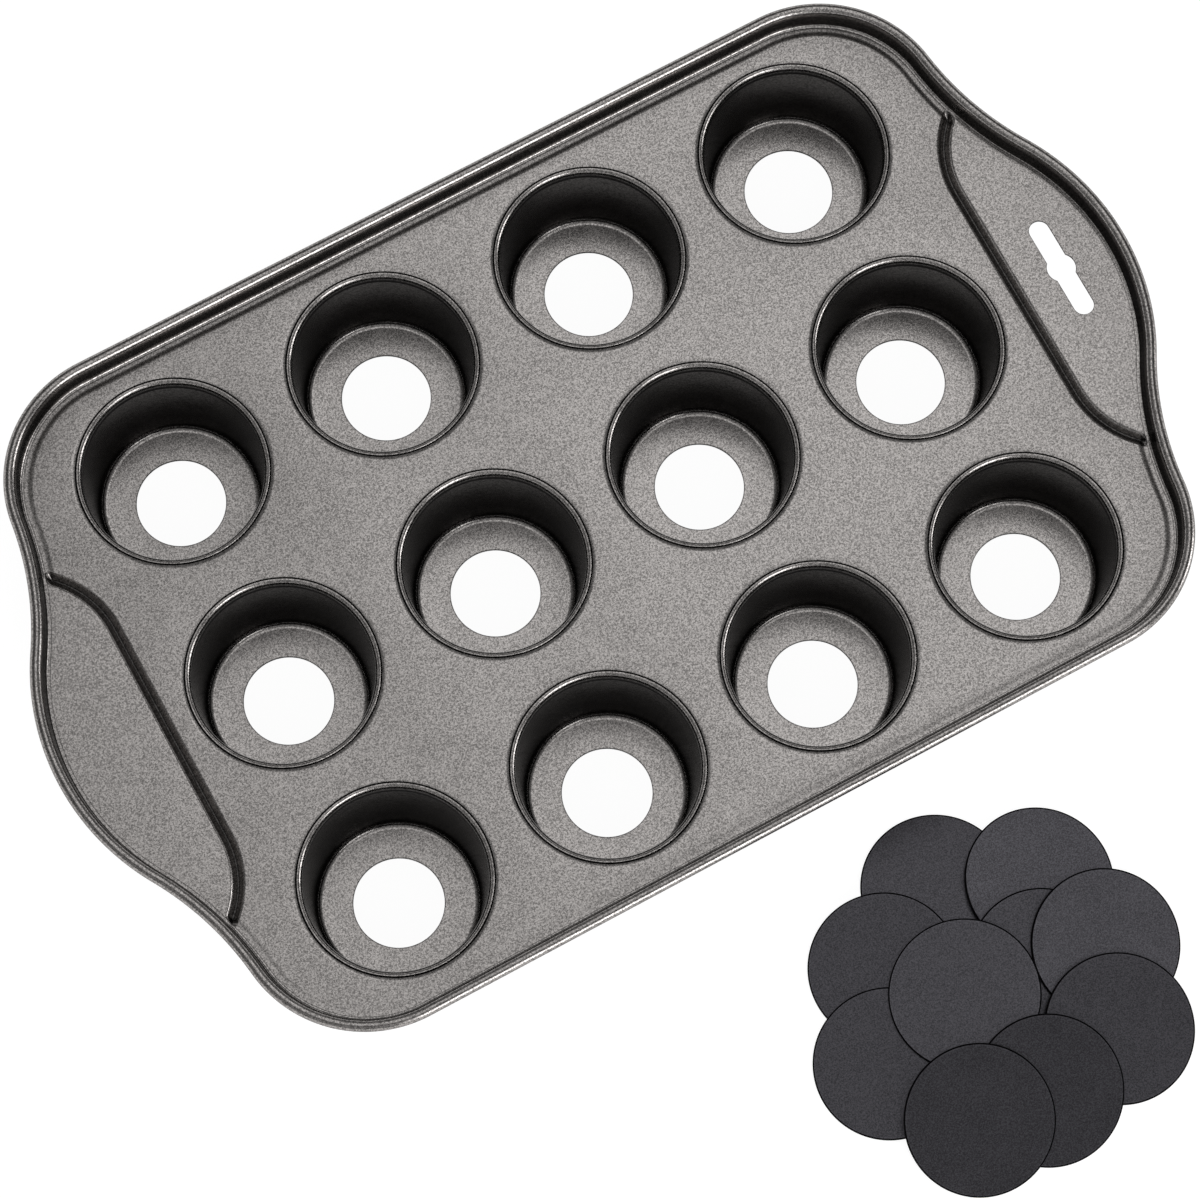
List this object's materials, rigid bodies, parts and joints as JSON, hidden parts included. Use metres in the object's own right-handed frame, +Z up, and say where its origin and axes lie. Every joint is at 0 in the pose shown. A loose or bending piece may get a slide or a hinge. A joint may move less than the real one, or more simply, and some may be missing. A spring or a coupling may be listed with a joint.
{
  "type": "mini cheesecake pan",
  "caption": "Non-stick tray of small straight cups with push-out base holes, two bowed handle ends and a rolled rim, with its loose flat base discs piled beside it.",
  "frame": {"origin": "middle of the footprint of the whole set, pan and pile of discs, on the surface that it stands on", "axes": "+X along the pan's length towards the handle with the hanging slot, +Y across the pan away from the pile of discs, +Z up"},
  "size_m": [0.351, 0.3388, 0.0411],
  "materials": {
    "pan_coating": "semi-gloss warm grey non-stick coat with a fine speckle",
    "disc_coating": "matte charcoal non-stick coat with a fine grain",
    "bare_wire": "bare drawn steel wire"
  },
  "bodies": {
    "pan": {"tray": "pan_coating", "rim_wire": "bare_wire", "cup_01": "pan_coating", "cup_02": "pan_coating", "cup_03": "pan_coating", "cup_04": "pan_coating", "cup_05": "pan_coating", "cup_06": "pan_coating", "cup_07": "pan_coating", "cup_08": "pan_coating", "cup_09": "pan_coating", "cup_10": "pan_coating", "cup_11": "pan_coating", "cup_12": "pan_coating"},
    "disc_01": {"base_disc_01": "disc_coating"},
    "disc_02": {"base_disc_02": "disc_coating"},
    "disc_03": {"base_disc_03": "disc_coating"},
    "disc_04": {"base_disc_04": "disc_coating"},
    "disc_05": {"base_disc_05": "disc_coating"},
    "disc_06": {"base_disc_06": "disc_coating"},
    "disc_07": {"base_disc_07": "disc_coating"},
    "disc_08": {"base_disc_08": "disc_coating"},
    "disc_09": {"base_disc_09": "disc_coating"},
    "disc_10": {"base_disc_10": "disc_coating"},
    "disc_11": {"base_disc_11": "disc_coating"},
    "disc_12": {"base_disc_12": "disc_coating"}
  },
  "joints": [
    {"name": "disc_01_lift", "type": "slide", "parent": "pan", "child": "disc_01", "axis": [0, 0, 1], "range_m": [0, 0.045]},
    {"name": "disc_02_lift", "type": "slide", "parent": "disc_01", "child": "disc_02", "axis": [0, 0, 1], "range_m": [0, 0.045]},
    {"name": "disc_03_lift", "type": "slide", "parent": "disc_02", "child": "disc_03", "axis": [0, 0, 1], "range_m": [0, 0.045]},
    {"name": "disc_04_lift", "type": "slide", "parent": "disc_03", "child": "disc_04", "axis": [0, 0, 1], "range_m": [0, 0.045]},
    {"name": "disc_05_lift", "type": "slide", "parent": "disc_04", "child": "disc_05", "axis": [0, 0, 1], "range_m": [0, 0.045]},
    {"name": "disc_06_lift", "type": "slide", "parent": "disc_05", "child": "disc_06", "axis": [0, 0, 1], "range_m": [0, 0.045]},
    {"name": "disc_07_lift", "type": "slide", "parent": "disc_06", "child": "disc_07", "axis": [0, 0, 1], "range_m": [0, 0.045]},
    {"name": "disc_08_lift", "type": "slide", "parent": "disc_07", "child": "disc_08", "axis": [0, 0, 1], "range_m": [0, 0.045]},
    {"name": "disc_09_lift", "type": "slide", "parent": "disc_08", "child": "disc_09", "axis": [0, 0, 1], "range_m": [0, 0.045]},
    {"name": "disc_10_lift", "type": "slide", "parent": "disc_09", "child": "disc_10", "axis": [0, 0, 1], "range_m": [0, 0.045]},
    {"name": "disc_11_lift", "type": "slide", "parent": "disc_10", "child": "disc_11", "axis": [0, 0, 1], "range_m": [0, 0.045]},
    {"name": "disc_12_lift", "type": "slide", "parent": "disc_11", "child": "disc_12", "axis": [0, 0, 1], "range_m": [0, 0.045]}
  ]
}
